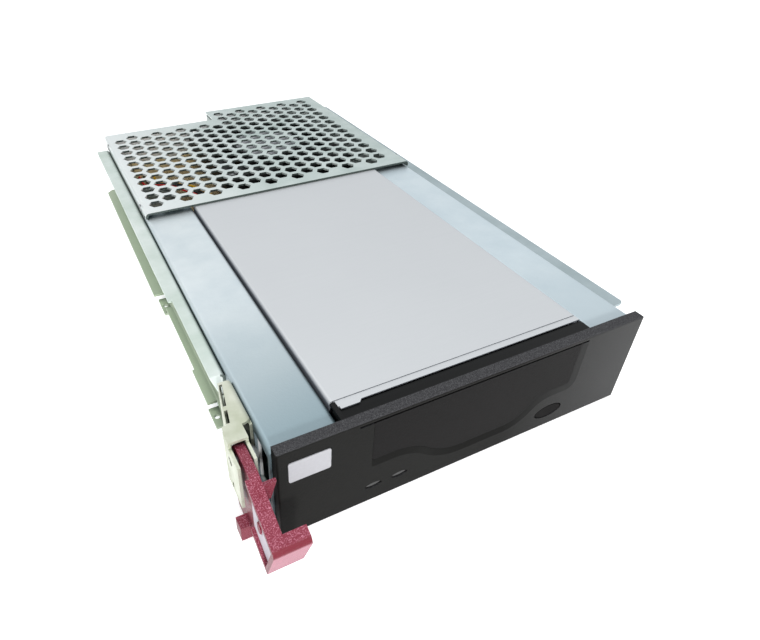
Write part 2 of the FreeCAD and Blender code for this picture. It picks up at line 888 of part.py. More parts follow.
def front_bezel():
    x = (left_end, -left_end)
    y = (face, face + bezel_depth)
    z = (bezel_lift, bezel_top)
    body = box(x, y, z)
    front_edges = [edge for edge in body.Edges if edge.BoundBox.YMax < face + 1e-6]
    body = body.makeFillet(bezel_edge_round, front_edges)
    rim = bezel_rim
    pocket = box((x[0] + rim, x[1] - rim), (face + bezel_wall, y[1] + sheet), (z[0] + rim, z[1] - rim))
    body = body.cut(pocket)
    lugs = []
    for side, edge in ((-1, door_left - open_gap), (1, door_right + open_gap)):
        lug_x = sorted((edge, edge + side * hinge_lug))
        lug_z = (hinge_z - hinge_lug_height / 2, bezel_top - rim)
        lugs.append(box(lug_x, (face + bezel_wall - seat_gap, y[1]), lug_z))
    body = joined([body] + lugs)
    cuts = [door_prism(open_gap, face - sheet, y[1] + sheet, door_head_gap)]
    scoop_edges = [door_outline(open_gap + scoop_width, face), door_outline(open_gap, face + scoop_depth)]
    scoop = Part.makeLoft(scoop_edges, True, True)
    scoop_z = (z[0], bezel_lift + door_top)
    cuts.append(scoop.common(box((door_left - open_gap, x[1]), y, scoop_z)))
    groove_z = (bezel_lift + door_top + open_gap, bezel_lift + door_top + door_head_gap)
    groove_x = (door_left - groove_reach, door_right + groove_reach / 2)
    cuts.append(box(groove_x, (face - sheet, face + groove_depth), groove_z))
    cuts += [hinge_pin_rod(side, hinge_pin + running_gap, seat_gap) for side in (-1, 1)]
    cuts.append(ellipse_prism(button_center, grown(button_size, button_gap), face - sheet, y[1]))
    for center in light_centers:
        cuts.append(ellipse_prism(center, grown(light_size, hole_gap), face - sheet, y[1]))
    cuts.append(badge(face - sheet, face + badge_sink, hole_gap))
    return body.cut(cuts)


def grown(size, gap):
    return (size[0] + 2 * gap, size[1] + 2 * gap)


def badge(low, high, gap):
    x = (left_end + badge_from_left - gap, left_end + badge_from_left + badge_size[0] + gap)
    z = (bezel_lift + badge_bottom - gap, bezel_lift + badge_bottom + badge_size[1] + gap)
    r = badge_corner
    outline = ((x[0], z[0], r), (x[1], z[0], r), (x[1], z[1], r), (x[0], z[1], r))
    return prism(outline, "xz", low, high)


def badge_plate():
    return badge(face + badge_sink - badge_thick, face + badge_sink, 0)


def eject_button():
    start = face + button_sink
    behind = face + bezel_wall + seat_gap
    cap = ellipse_prism(button_center, button_size, start, behind + button_lip_thick)
    lip = ellipse_prism(button_center, grown(button_size, button_lip), behind, behind + button_lip_thick)
    stem_end = front_board_face() - switch_depth() - switch_plunger - button_travel - hole_gap
    at = V(button_center[0], behind, bezel_lift + button_center[1])
    stem = rod(button_stem, at, V(at.x, stem_end, at.z))
    return joined([cap, lip, stem])


def front_board_face():
    return face + front_board_depth


def switch_depth():
    return switch_size[1] / 2


def light_windows():
    start = face + light_recess
    return group([ellipse_prism(center, light_size, start, face + bezel_wall) for center in light_centers])


def status_lights():
    low = face + bezel_wall + seat_gap
    lights = []
    for center in light_centers:
        z = bezel_lift + center[1]
        lights.append(rod(light_radius, V(center[0], low, z), V(center[0], front_board_face(), z)))
    return group(lights)


def front_board():
    y = (front_board_face(), front_board_face() + front_board_thick)
    half_width = front_board_width / 2
    z = (front_board_bottom, front_board_bottom + front_board_height)
    return box((drive_center - half_width, drive_center + half_width), y, z)


def eject_switch():
    y = front_board_face()
    center = V(button_center[0], y - switch_depth(), bezel_lift + button_center[1])
    half_size = switch_size[0] / 2
    body = box((center.x - half_size, center.x + half_size), (center.y, y),
               (center.z - switch_size[1] / 2, center.z + switch_size[1] / 2))
    return joined([body, rod(switch_plunger, center, center - V(0, switch_plunger, 0))])


# Latch bracket and ejector lever

def from_wall(reach):
    """Distance out from the left side of the chassis."""
    return -cover_outer - reach


def latch_wall_path():
    """Plan of the latch's outer wall from its back to its front: a slanted run, a jog and a straight run."""
    back = (from_wall(latch_back_reach), front + latch_back)
    middle = (from_wall(latch_middle_reach), front + latch_middle)
    jog = (from_wall(latch_reach), front + latch_middle - latch_jog)
    nose = (from_wall(latch_reach), front + latch_wall_front)
    return back, middle, jog, nose


def latch_slits():
    """Bend reliefs along the slanted run, with a bridge left between them."""
    back, middle, jog, nose = latch_wall_path()
    top = bezel_lift + latch_top
    slits = []
    for start, end in ((0.06, 0.58), (0.68, 0.97)):
        corners = []
        for part, shift in ((start, 0), (end, 0), (end, latch_slot_width), (start, latch_slot_width)):
            x = back[0] + (middle[0] - back[0]) * part + latch_slot_set + shift
            corners.append((x, back[1] + (middle[1] - back[1]) * part))
        slits.append(prism(corners, "xy", top - 2 * sheet, top + sheet))
    return slits


def latch_bracket():
    top = bezel_lift + latch_top
    foot = bezel_lift + latch_foot
    back, middle, jog, nose = latch_wall_path()
    plate_front = front + latch_plate_front
    inner_edge = from_wall(latch_inner_wall)
    flange_path = ((from_wall(0), foot), (from_wall(0), top), (inner_edge, top))
    flange = prism(strip(flange_path, sheet, bend), "xz", plate_front, back[1])
    plate_x = middle[0] + sheet / 2
    plate_outline = ((inner_edge + sheet, back[1]), (back[0] + sheet / 2, back[1]), (plate_x, middle[1]),
                     (plate_x, plate_front), (inner_edge + sheet, plate_front))
    plate = prism(plate_outline, "xy", top - sheet, top)
    tongue_x = (jog[0] + sheet / 2, inner_edge)
    tongue = box(tongue_x, (front + latch_tongue_front, middle[1]), (top - sheet, top))
    wall = prism(strip(latch_wall_path(), sheet, bend), "xy", foot, top)
    lowered = box((nose[0] - sheet, nose[0] + 2 * sheet), (nose[1] - sheet, front + latch_tongue_front),
                  (bezel_lift + latch_wall_top, top + sheet))
    inner_x = (from_wall(latch_inner_wall + sheet), from_wall(latch_inner_wall))
    inner_y = (front + latch_inner_front, front + latch_inner_back)
    inner = box(inner_x, inner_y, (foot, top - sheet))
    low_y = (inner_y[0] - sheet, front + latch_tongue_front)
    low_x = (inner_x[0] - seat_gap, inner_x[1] + sheet)
    inner_lowered = box(low_x, low_y, (bezel_lift + latch_inner_top, top))
    r = latch_corner
    round_center = V(from_wall(r), plate_front + r, foot)
    corner_z = (top - sheet - bend, top + sheet)
    corner = box((from_wall(r), from_wall(-sheet)), (plate_front - sheet, plate_front + r), corner_z)
    corner = corner.cut(Part.makeCylinder(r, 2 * bezel_height, round_center))
    cuts = latch_slits() + [lowered, inner_lowered, corner] + latch_rivet_holes()
    cuts.append(pivot_rod(pivot_radius + running_gap))
    window = pivot_point(latch_reach)
    window_y = (window.y - latch_window_width / 2, window.y + latch_window_width / 2)
    window_z = bezel_lift + latch_window_level
    window_z = (window_z - latch_window_height / 2, window_z + latch_window_height / 2)
    cuts.append(box((window.x - sheet, window.x + 2 * sheet), window_y, window_z))
    return joined([flange, plate, tongue, wall, inner]).cut(cuts)


def pivot_point(reach):
    return V(from_wall(reach), front + pivot_back, bezel_lift + pivot_level)


def pivot_rod(radius):
    return rod(radius, pivot_point(latch_reach + sheet), pivot_point(latch_inner_wall - sheet))


def lever_pin():
    length = latch_reach - latch_inner_wall - pivot_recess
    seat = pivot_point(latch_inner_wall)
    return fastener(seat, V(1, 0, 0), pivot_head, pivot_head_height, pivot_radius, length)


def latch_rivets():
    size = (rivet_head, rivet_head_height, rivet_radius, 3 * sheet)
    return group([fastener(point, V(-1, 0, 0), *size) for point in latch_rivet_points()])


def lever_points():
    """Corners of the lever's side view, worked from its pivot, slopes and depth."""
    pivot = (front + pivot_back, bezel_lift + pivot_level)
    top_slope = math.tan(math.radians(lever_top_slope))
    face_slope = math.radians(lever_face_slope)
    top = pivot[1] + lever_eye
    shoulder = (pivot[0] - lever_tail_reach, top)
    nose_y = pivot[0] - lever_nose_reach
    nose = (nose_y, top - (shoulder[0] - nose_y) * top_slope)
    chin = (nose[0] + lever_depth * math.sin(face_slope), nose[1] - lever_depth * math.cos(face_slope))
    heel_y = pivot[0] - lever_eye
    heel = (heel_y, chin[1] + (heel_y - chin[0]) * math.tan(face_slope))
    return pivot, shoulder, nose, chin, heel


def lever_profile():
    pivot, shoulder, nose, chin, heel = lever_points()
    r = lever_foot_round
    back = (pivot[0] + lever_eye * 0.6, pivot[1] - lever_eye)
    return ((pivot[0], shoulder[1]), (shoulder[0], shoulder[1], r), (nose[0], nose[1], r),
            (chin[0], chin[1], r / 2), (heel[0], heel[1], r), back)


def lever_panel(inset, low, high):
    """The lever's wide flat side, drawn in from its edges and open at the back."""
    pivot, shoulder, nose, chin, heel = lever_points()
    r = lever_foot_round
    back = shoulder[0] - lever_flare + lever_border + seat_gap
    back_top = shoulder[1] + (back - shoulder[0]) * math.tan(math.radians(lever_top_slope))
    back_low = chin[1] + (back - chin[0]) * math.tan(math.radians(lever_face_slope))
    outline = ((back, back_top), (nose[0], nose[1], r), (chin[0], chin[1], r / 2), (back, back_low))
    side = Part.Face(rounded_wire(outline, "yz", low))
    return side.makeOffset2D(-inset).extrude(V(high - low, 0, 0))


def oval_boss(grow, low, high):
    """Raised oval on the floor of the lever's recess."""
    pivot, shoulder, nose, chin, heel = lever_points()
    y = (nose[0] + chin[0] + heel[0] + shoulder[0]) / 4
    z = (nose[1] + chin[1] + heel[1] + shoulder[1]) / 4
    half_y = boss_width / 2 + grow
    half_z = boss_length / 2 + grow
    r = half_y * 0.98
    outline = ((y - half_y, z - half_z, r), (y + half_y, z - half_z, r),
               (y + half_y, z + half_z, r), (y - half_y, z + half_z, r))
    return prism(outline, "yz", low, high)


def ejector_lever():
    x = (from_wall(lever_outer), from_wall(lever_inner))
    floor = x[1] - lever_web
    pivot, shoulder, nose, chin, heel = lever_points()
    profile = lever_profile()
    blade = prism(profile, "yz", x[0], x[1])
    ahead = box((x[0] - 2 * sheet, x[0]), (nose[0] - sheet, shoulder[0] - lever_flare), (0, bezel_top))
    flare = prism(profile, "yz", x[0] - lever_flare, x[0]).common(ahead)
    eye = rod(lever_eye, pivot_point(lever_outer), pivot_point(lever_inner))
    body = joined([blade, flare, eye]).cut(lever_panel(lever_border, x[0] - 2 * sheet, floor))
    boss = oval_boss(0, floor - boss_height, floor)
    slope = math.radians(lever_face_slope)
    t = lever_foot_thick
    r = lever_foot_round
    along = (t * math.cos(slope), t * math.sin(slope))
    foot = ((nose[0] + along[0], nose[1] + along[1]), (nose[0], nose[1], r), (chin[0], chin[1], r / 2),
            (chin[0] + along[0], chin[1] + along[1]))
    grip = prism(foot, "yz", floor, from_wall(-lever_foot_reach))
    fin_y = shoulder[0] - fin_set
    fin_top = shoulder[1] - fin_set * math.tan(math.radians(lever_top_slope)) - fin_drop
    fin_low = fin_top - fin_height
    fin_points = ((x[1] - sheet, fin_top), (x[1] + fin_reach, fin_top), (x[1] + fin_reach / 2, fin_low),
                  (x[1] - sheet, fin_low))
    fin = prism(fin_points, "xz", fin_y, fin_y + fin_thick)
    hook_y = (pivot[0] - hook_set - hook_width, pivot[0] - hook_set)
    hook_z = (bezel_lift + hook_level, bezel_lift + hook_level + hook_height)
    hook = box((from_wall(hook_reach), x[1]), hook_y, hook_z)
    b = lever_border
    tail = (pivot[0] + tail_reach, bezel_lift + tail_level)
    arm_points = ((heel[0] - 2 * b, heel[1] - 2 * b * math.tan(slope)), (hook_y[0], hook_z[0]),
                  (tail[0] - tail_taper, hook_z[0]), tail, (heel[0] + b, heel[1] + b))
    arm = prism(arm_points, "yz", floor, x[1])
    body = joined([body, boss, grip, fin, hook, arm])
    bore_ends = (pivot_point(lever_outer + sheet), pivot_point(lever_inner - sheet))
    return body.cut(rod(pivot_radius + running_gap, *bore_ends))


def lever_label():
    floor = from_wall(lever_inner) - lever_web
    label = lever_panel(lever_border + label_inset, floor - label_thick, floor)
    return label.cut(oval_boss(label_inset, floor - sheet, floor + sheet))


# Drive mechanism

def deck_span():
    half_width = half_drive - drive_sheet - deck_inset
    x = (drive_center - half_width, drive_center + half_width)
    return x, (front + deck_front, drive_back - drive_sheet - deck_inset)


def mechanism_deck():
    x, y = deck_span()
    top = deck_level + deck_thick
    plate = box(x, y, (deck_level, top))
    parts = [plate]
    for side in (-1, 1):
        base = V(drive_center + side * reel_spread / 2, front + reel_station, deck_level)
        parts.append(rod(spindle_radius, base, base + V(0, 0, deck_thick + reel_height + seat_gap)))
        for station in (cage_front + cage_ear, cage_front + cage_length - cage_ear):
            foot = V(drive_center + side * (cage_width / 2 + cage_ear), front + station, deck_level)
            parts.append(rod(cage_rod_radius, foot, V(foot.x, foot.y, cage_rest + cage_height)))
    return joined(parts)


def main_board():
    x, y = deck_span()
    plate = box(x, y, (board_level, board_level + board_thick))
    holes = []
    for post_x in (-post_spread / 2, post_spread / 2):
        for station in post_stations:
            base = V(drive_center + post_x, front + station, board_level - sheet)
            holes.append(Part.makeCylinder(post_radius + seat_gap, board_thick + 2 * sheet, base))
    return plate.cut(holes)


def reel_table(side):
    at = V(drive_center + side * reel_spread / 2, front + reel_station, deck_level + deck_thick + drum_gap)
    bore = spindle_radius + running_gap
    profile = ((bore, 0), (reel_flange, 0), (reel_flange, reel_flange_thick), (reel_hub, reel_flange_thick),
               (reel_hub, reel_height - drum_gap), (bore, reel_height - drum_gap))
    return turned(profile, at, V(0, 0, 1))


def drum_axis():
    tilt = math.radians(drum_tilt)
    return V(0, math.sin(tilt), math.cos(tilt))


def drum_foot():
    return V(drive_center, drive_back - drum_from_back, deck_level + deck_thick)


def drum_base():
    axis = drum_axis()
    sink = drum_radius * math.tan(math.radians(drum_tilt)) + sheet
    foot = drum_foot()
    lower = rod(drum_radius, foot - axis * sink, foot + axis * drum_base_height)
    shaft = rod(drum_shaft, foot, foot + axis * (drum_base_height + drum_gap + drum_height))
    span = 3 * drum_radius
    below = box((foot.x - span, foot.x + span), (foot.y - span, foot.y + span), (foot.z - span, foot.z))
    return joined([lower, shaft]).cut(below)


def head_drum():
    axis = drum_axis()
    start = drum_foot() + axis * (drum_base_height + drum_gap)
    end = start + axis * drum_height
    return rod(drum_radius, start, end).cut(rod(drum_shaft + running_gap, start - axis, end + axis))


def cartridge_cage():
    half_width = cage_width / 2
    bottom = cage_rest
    top = bottom + cage_height
    y = (front + cage_front, front + cage_front + cage_length)
    left = drive_center - half_width
    right = drive_center + half_width
    path = ((left + cage_ledge, bottom), (left, bottom), (left, top), (right, top), (right, bottom),
            (right - cage_ledge, bottom))
    body = prism(strip(path[::-1], cage_sheet, cage_sheet), "xz", y[0], y[1])
    parts = [body]
    holes = []
    for side in (-1, 1):
        for station in (cage_front + cage_ear, cage_front + cage_length - cage_ear):
            wall = drive_center + side * half_width
            x = sorted((wall - side * cage_sheet, wall + side * 2 * cage_ear))
            middle = front + station
            z = (bottom + cage_height / 2, bottom + cage_height / 2 + 3 * cage_sheet)
            parts.append(box(x, (middle - cage_ear, middle + cage_ear), z))
            at = V(wall + side * cage_ear, middle, bottom)
            holes.append(Part.makeCylinder(cage_rod_radius + running_gap, cage_height, at))
    return joined(parts).cut(holes)


# Rear bay: fan, connector, ribbon and wires

def fan_middle():
    return V(fan_x, fan_y, 0)


def fan_corners():
    half_spread = fan_size / 2 - fan_hole_inset
    return [fan_middle() + V(i * half_spread, j * half_spread, 0) for i in (-1, 1) for j in (-1, 1)]


def fan_frame():
    c = fan_middle()
    h = fan_size / 2
    r = fan_corner
    outline = ((c.x - h, c.y - h, r), (c.x + h, c.y - h, r), (c.x + h, c.y + h, r), (c.x - h, c.y + h, r))
    frame = prism(outline, "xy", fan_bottom, fan_top)
    cuts = [Part.makeCylinder(fan_bore, fan_thick + 2 * sheet, V(c.x, c.y, fan_bottom - sheet))]
    through = V(0, 0, fan_thick + 2 * sheet)
    for corner in fan_corners():
        start = corner + V(0, 0, fan_bottom - sheet)
        cuts.append(rod(fan_hole, start, start + through))
    plate_bottom = fan_top - fan_hub_plate
    parts = [frame.cut(cuts), Part.makeCylinder(fan_hub, fan_hub_plate, V(c.x, c.y, plate_bottom))]
    for k in range(4):
        reach = fan_bore + sheet
        bar = box((fan_hub - sheet, reach), (-fan_strut / 2, fan_strut / 2), (plate_bottom, fan_top))
        bar.rotate(V(0, 0, 0), V(0, 0, 1), 45 + 90 * k)
        bar.translate(V(c.x, c.y, 0))
        parts.append(bar)
    parts.append(rod(spindle_radius, V(c.x, c.y, fan_bottom + 2 * sheet), V(c.x, c.y, fan_top)))
    return joined(parts)


def fan_blade(low, high):
    """One blade: a leaning slab lofted from the hub to the tip."""
    lean = math.radians(fan_blade_lean)
    tip = fan_bore - fan_tip_gap
    root = fan_hub - sheet

    def section(radius, shift):
        half_thick = fan_blade_thick / 2
        rise = (high - low) / 2
        run = rise * math.tan(lean)
        corners = ((-run - half_thick, low), (-run + half_thick, low),
                   (run + half_thick, high), (run - half_thick, high))
        points = [V(radius, t + shift, z) for t, z in corners]
        return Part.makePolygon(points + points[:1])
    blade = Part.makeLoft([section(root, 0), section(tip, fan_blade_thick * 2)], True, True)
    return blade


def fan_rotor():
    c = fan_middle()
    low = fan_bottom + sheet
    high = fan_top - fan_hub_plate - sheet
    hub = Part.makeCylinder(fan_hub, high - low, V(0, 0, low))
    parts = [hub]
    for k in range(fan_blades):
        blade = fan_blade(low + sheet, high - sheet)
        blade.rotate(V(0, 0, 0), V(0, 0, 1), 360 * k / fan_blades)
        parts.append(blade)
    bore_start = V(0, 0, fan_bottom + sheet + seat_gap * 4)
    bore = Part.makeCylinder(spindle_radius + running_gap, fan_thick, bore_start)
    rotor = joined(parts).cut(bore)
    rotor.translate(V(c.x, c.y, 0))
    return rotor


def fan_label():
    c = fan_middle()
    return Part.makeCylinder(fan_hub - fan_label_margin, fan_label_thick, V(c.x, c.y, fan_top))


def fan_screws():
    length = fan_thick + sheet + seat_gap
    size = (fan_screw_head, fan_screw_head_height, spindle_radius, length)
    top = V(0, 0, fan_top)
    return group([fastener(corner + top, V(0, 0, 1), *size) for corner in fan_corners()])


def fan_cradle(side):
    """Bent bracket under the front or rear edge of the fan, standing on the tray."""
    edge = fan_middle().y + side * fan_size / 2
    upright = edge + side * sheet
    lip_under = fan_bottom - sheet
    path = ((upright + side * cradle_foot, sheet), (upright, sheet), (upright, lip_under),
            (edge - side * cradle_lip, lip_under))
    if side > 0:
        path = path[::-1]
    section = strip(path, sheet, bend)
    cradle_x = (fan_left + cradle_left_inset, fan_left + fan_size - cradle_right_inset)
    body = prism(section, "yz", cradle_x[0], cradle_x[1])
    if side > 0:
        body = body.cut(box((-half_tray, step_x + sheet + seat_gap), (edge, rear), (0, bezel_top)))
    lip_y = sorted((edge - side * cradle_lip, edge - side * (sheet + bend)))
    lip_x = (fan_left + cradle_lip_inset, cradle_x[0] + sheet)
    lip = box(lip_x, lip_y, (fan_bottom - sheet, fan_bottom))
    holes = []
    for corner in fan_corners():
        start = corner + V(0, 0, fan_bottom - 2 * sheet)
        holes.append(rod(spindle_radius + hole_gap, start, start + V(0, 0, 3 * sheet)))
    return joined([body, lip]).cut(holes)


def rear_connector():
    body = connector_window(0)
    x = (connector_left - 3 * sheet, connector_left + connector_width + sheet)
    base = bezel_lift + connector_bottom
    z = (base - connector_flange, base + connector_height + connector_flange)
    flange = box(x, (left_rear - 2.5 * sheet, left_rear - sheet), z)
    middle = connector_left + connector_width / 2
    level = bezel_lift + connector_bottom + connector_height / 2
    end = left_rear + connector_outside
    slot_x = (middle - connector_slot_width / 2, middle + connector_slot_width / 2)
    slot_z = (level - connector_slot_height / 2, level + connector_slot_height / 2)
    slot = box(slot_x, (end - connector_slot_depth, end + sheet), slot_z)
    return joined([body, flange]).cut(slot)


def ribbon_span(extra):
    x = drive_left + ribbon_inset
    return (x - extra, x + ribbon_width + extra)


def power_span(extra):
    x = drive_center + power_offset
    return (x - extra, x + power_width + extra)


def socket_depth():
    return (drive_back - drive_sheet - sheet, drive_back + drive_socket_depth)


def data_socket_block(gap):
    z = (drive_socket_level - gap, drive_socket_level + plug_height + gap)
    return box(ribbon_span(sheet + gap), socket_depth(), z)


def power_socket_block(gap):
    z = (drive_socket_level - gap, drive_socket_level + power_height + gap)
    return box(power_span(gap), socket_depth(), z)


def plug_depths():
    start = drive_back + drive_socket_depth
    return (start, start + plug_depth)


def ribbon_plug():
    return box(ribbon_span(sheet), plug_depths(), (drive_socket_level, drive_socket_level + plug_height))


def power_plug():
    return box(power_span(0), plug_depths(), (drive_socket_level, drive_socket_level + power_height))


def ribbon_cable():
    start = drive_back + drive_socket_depth + plug_depth
    end = left_rear - sheet - connector_inside
    low = drive_socket_level + plug_height / 2
    high = bezel_lift + connector_bottom + connector_height / 2
    path = ((start, low), (start + ribbon_bend, low), (start + 3 * ribbon_bend, ribbon_arch),
            (end - 2 * ribbon_bend, ribbon_arch), (end - ribbon_bend / 2, high), (end, high))
    x = ribbon_span(0)
    return prism(strip(path, ribbon_thick, ribbon_bend / 2), "yz", x[0], x[1])


# Way points of the first power wire from the fan's front left corner, and the step to the next wire
WIRE_ROUTE = ((14.6, -10.4, 17.0), (-6.9, -5.0, 24.0), (-15.4, 14.5, 26.5), (-25.4, 36.0, 24.5))
WIRE_STEP = ((3.0, 1.9), (1.2, 1.9), (1.9, 0.9), (2.2, 0.5))


def wire_points(index):
    """Route of one power wire from the drive's plug to the rear connector."""
    x = drive_center + power_offset + power_width / 2 + (index - 1.5) * wire_pitch
    start = V(x, drive_back + drive_socket_depth + plug_depth, drive_socket_level + power_height / 2)
    end_x = connector_left + wire_inset + index * wire_end_pitch
    end = V(end_x, left_rear - sheet - connector_inside, bezel_lift + connector_bottom + connector_height / 2)
    points = [start, start + V(0, wire_lead + index * wire_step, 0)]
    for (x, y, z), (side, along) in zip(WIRE_ROUTE, WIRE_STEP):
        points.append(V(fan_left + x + index * side, fan_front + y + index * along, z))
    return points + [end - V(0, wire_tail, 0), end]


def wire(index):
    """Round wire along straight runs joined by tangent arcs."""
    points = wire_points(index)
    edges = []
    leave = points[0]
    for before, here, after in zip(points[:-2], points[1:-1], points[2:]):
        back_way = before - here
        on_way = after - here
        short = min(back_way.Length, on_way.Length)
        half_angle = back_way.getAngle(on_way) / 2
        reach = 0.45 * short
        radius = reach * math.tan(half_angle)
        back_way.normalize()
        on_way.normalize()
        inward = (back_way + on_way).normalize()
        middle = here + inward * (radius / math.sin(half_angle) - radius)
        enter = here + back_way * reach
        edges.append(Part.LineSegment(leave, enter).toShape())
        leave = here + on_way * reach
        edges.append(Part.Arc(enter, middle, leave).toShape())
        print("wire", index, "bend radius", round(radius, 1))
    edges.append(Part.LineSegment(leave, points[-1]).toShape())
    path = Part.Wire(edges)
    way = points[1] - points[0]
    section = Part.Wire([Part.makeCircle(wire_radius, points[0], way)])
    tube = path.makePipeShell([section], True, True)
    print("wire", index, "volume ratio", round(tube.Volume / (path.Length * math.pi * wire_radius ** 2), 4))
    return tube


NODES = {
    "tray_pan": tray_pan(),
    "left_runner": left_runner(),
    "right_runner": right_runner(),
    "left_bracket": bracket(-1),
    "right_bracket": bracket(1),
    "rear_cover": rear_cover(),
    "runner_rivets": runner_rivets(),
    "cover_screws": cover_screws(),
    "drive_frame": drive_frame(),
    "drive_screws": drive_screws(),
    "drive_lid": drive_lid(),
    "front_moulding": front_moulding(),
    "front_bezel": front_bezel(),
    "badge_plate": badge_plate(),
    "light_windows": light_windows(),
    "status_lights": status_lights(),
    "front_board": front_board(),
    "eject_switch": eject_switch(),
    "eject_button": eject_button(),
    "tape_door": tape_door(),
    "latch_bracket": latch_bracket(),
    "latch_rivets": latch_rivets(),
    "lever_pin": lever_pin(),
    "ejector_lever": ejector_lever(),
    "lever_label": lever_label(),
    "mechanism_deck": mechanism_deck(),
    "main_board": main_board(),
    "supply_reel_table": reel_table(-1),
    "takeup_reel_table": reel_table(1),
    "drum_base": drum_base(),
    "head_drum": head_drum(),
    "cartridge_cage": cartridge_cage(),
    "data_socket": data_socket_block(0),
    "power_socket": power_socket_block(0),
    "ribbon_plug": ribbon_plug(),
    "ribbon_cable": ribbon_cable(),
    "power_plug": power_plug(),
    "power_wire_red": wire(0),
    "power_wires_black": group([wire(1), wire(2)]),
    "power_wire_yellow": wire(3),
    "fan_frame": fan_frame(),
    "fan_rotor": fan_rotor(),
    "fan_label": fan_label(),
    "fan_screws": fan_screws(),
    "front_fan_cradle": fan_cradle(-1),
    "rear_fan_cradle": fan_cradle(1),
    "rear_connector": rear_connector(),
}

os.makedirs("parts", exist_ok=True)
for name, shape in NODES.items():
    shape.exportStep("parts/" + name + ".step")
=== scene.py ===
import math

import bmesh
import bpy
from mathutils import Euler, Matrix, Vector


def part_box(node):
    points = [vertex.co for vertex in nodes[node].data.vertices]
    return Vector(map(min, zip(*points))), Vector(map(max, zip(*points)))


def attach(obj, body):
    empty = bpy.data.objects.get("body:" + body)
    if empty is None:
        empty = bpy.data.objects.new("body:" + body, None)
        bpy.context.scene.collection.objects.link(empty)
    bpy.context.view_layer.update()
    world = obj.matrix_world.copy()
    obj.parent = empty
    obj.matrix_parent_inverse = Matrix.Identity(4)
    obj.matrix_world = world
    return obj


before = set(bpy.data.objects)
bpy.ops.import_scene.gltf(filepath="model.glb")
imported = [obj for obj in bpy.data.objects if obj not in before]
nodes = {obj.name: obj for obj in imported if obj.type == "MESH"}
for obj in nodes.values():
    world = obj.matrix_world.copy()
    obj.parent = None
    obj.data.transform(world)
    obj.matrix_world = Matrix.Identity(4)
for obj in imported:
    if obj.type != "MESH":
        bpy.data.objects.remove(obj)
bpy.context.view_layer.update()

scene = bpy.context.scene
white = (1.0, 1.0, 1.0, 1.0)
black = (0.0, 0.0, 0.0, 1.0)


# Node building: each node output is a Value, and arithmetic on Values adds Math nodes

class Value:
    """One output socket of a node."""

    def __init__(self, graph, socket):
        self.graph = graph
        self.socket = socket

    def maths(self, operation, first, second):
        return self.graph.node("ShaderNodeMath", {"operation": operation}, {0: first, 1: second})

    def __add__(self, other):
        return self.maths("ADD", self, other)

    def __radd__(self, other):
        return self.maths("ADD", other, self)

    def __sub__(self, other):
        return self.maths("SUBTRACT", self, other)

    def __rsub__(self, other):
        return self.maths("SUBTRACT", other, self)

    def __mul__(self, other):
        return self.maths("MULTIPLY", self, other)

    def __rmul__(self, other):
        return self.maths("MULTIPLY", other, self)

    def ramp(self, low, high):
        """0 at low, 1 at high, held outside."""
        limits = {"Value": self, "From Min": low, "From Max": high}
        return self.graph.node("ShaderNodeMapRange", {}, limits)


class Graph:
    """A node tree, with one method that adds any node."""

    def __init__(self, tree):
        self.tree = tree

    def node(self, kind, settings, inputs, output=0):
        made = self.tree.nodes.new(kind)
        for name, value in settings.items():
            setattr(made, name, value)
        for name, value in inputs.items():
            self.feed(made.inputs[name], value)
        if made.outputs:
            return Value(self, made.outputs[output])

    def feed(self, socket, value):
        """Sets a socket, or links it to a Value or to each of a list of Values."""
        if isinstance(value, list):
            for item in value:
                self.feed(socket, item)
        elif isinstance(value, Value):
            self.tree.links.new(value.socket, socket)
        else:
            socket.default_value = value

    def mix(self, factor, a, b):
        """Colour between a and b."""
        return self.node("ShaderNodeMix", {"data_type": "RGBA"}, {0: factor, 6: a, 7: b}, 2)

    def light_path(self, kind):
        return self.node("ShaderNodeLightPath", {}, {}, kind)


class Look(Graph):
    """A material built round one Principled shader."""

    def __init__(self, name):
        self.material = bpy.data.materials.new(name)
        self.material.use_nodes = True
        super().__init__(self.material.node_tree)
        self.shader = self.tree.nodes["Principled BSDF"]

    def set(self, **inputs):
        for name, value in inputs.items():
            self.feed(self.shader.inputs[name.replace("_", " ")], value)

    def place(self):
        return self.node("ShaderNodeTexCoord", {}, {}, "Object")

    def axis(self, name):
        return self.node("ShaderNodeSeparateXYZ", {}, {0: self.place()}, name)

    def stretched(self, x, y, z):
        return self.node("ShaderNodeMapping", {}, {"Vector": self.place(), "Scale": (x, y, z)})

    def noise(self, scale, detail=3.0, rough=0.55, where=None):
        where = where or self.place()
        inputs = {"Vector": where, "Scale": scale, "Detail": detail, "Roughness": rough}
        return self.node("ShaderNodeTexNoise", {}, inputs)

    def facing(self, axis):
        """How far the surface faces along an axis of the part, from -1 to 1."""
        normal = self.node("ShaderNodeTexCoord", {}, {}, "Normal")
        return self.node("ShaderNodeSeparateXYZ", {}, {0: normal}, axis)

    def frontal(self, low, high):
        """0 to 1 as the surface turns to the front of the part, which faces -Y."""
        return (0 - self.facing("Y")).ramp(low, high)

    def open_air(self, reach):
        """1 on open surfaces, falling to 0 in folds and under edges."""
        return self.node("ShaderNodeAmbientOcclusion", {"samples": 6}, {"Distance": reach}, "AO")

    def faded(self, color, fade):
        """The color, going over to a painted light and shade tint towards one end of the piece."""
        axis, full, gone, tint = fade
        return self.mix(self.axis(axis).ramp(full, gone), tint, color)

    def bump(self, height, strength, distance):
        inputs = {"Height": height, "Strength": strength, "Distance": distance}
        return self.node("ShaderNodeBump", {}, inputs)


def linear(code):
    """Linear colour from a hex code."""
    parts = [int(code[i:i + 2], 16) / 255 for i in (0, 2, 4)]
    return tuple(c / 12.92 if c <= 0.04045 else ((c + 0.055) / 1.055) ** 2.4 for c in parts) + (1.0,)


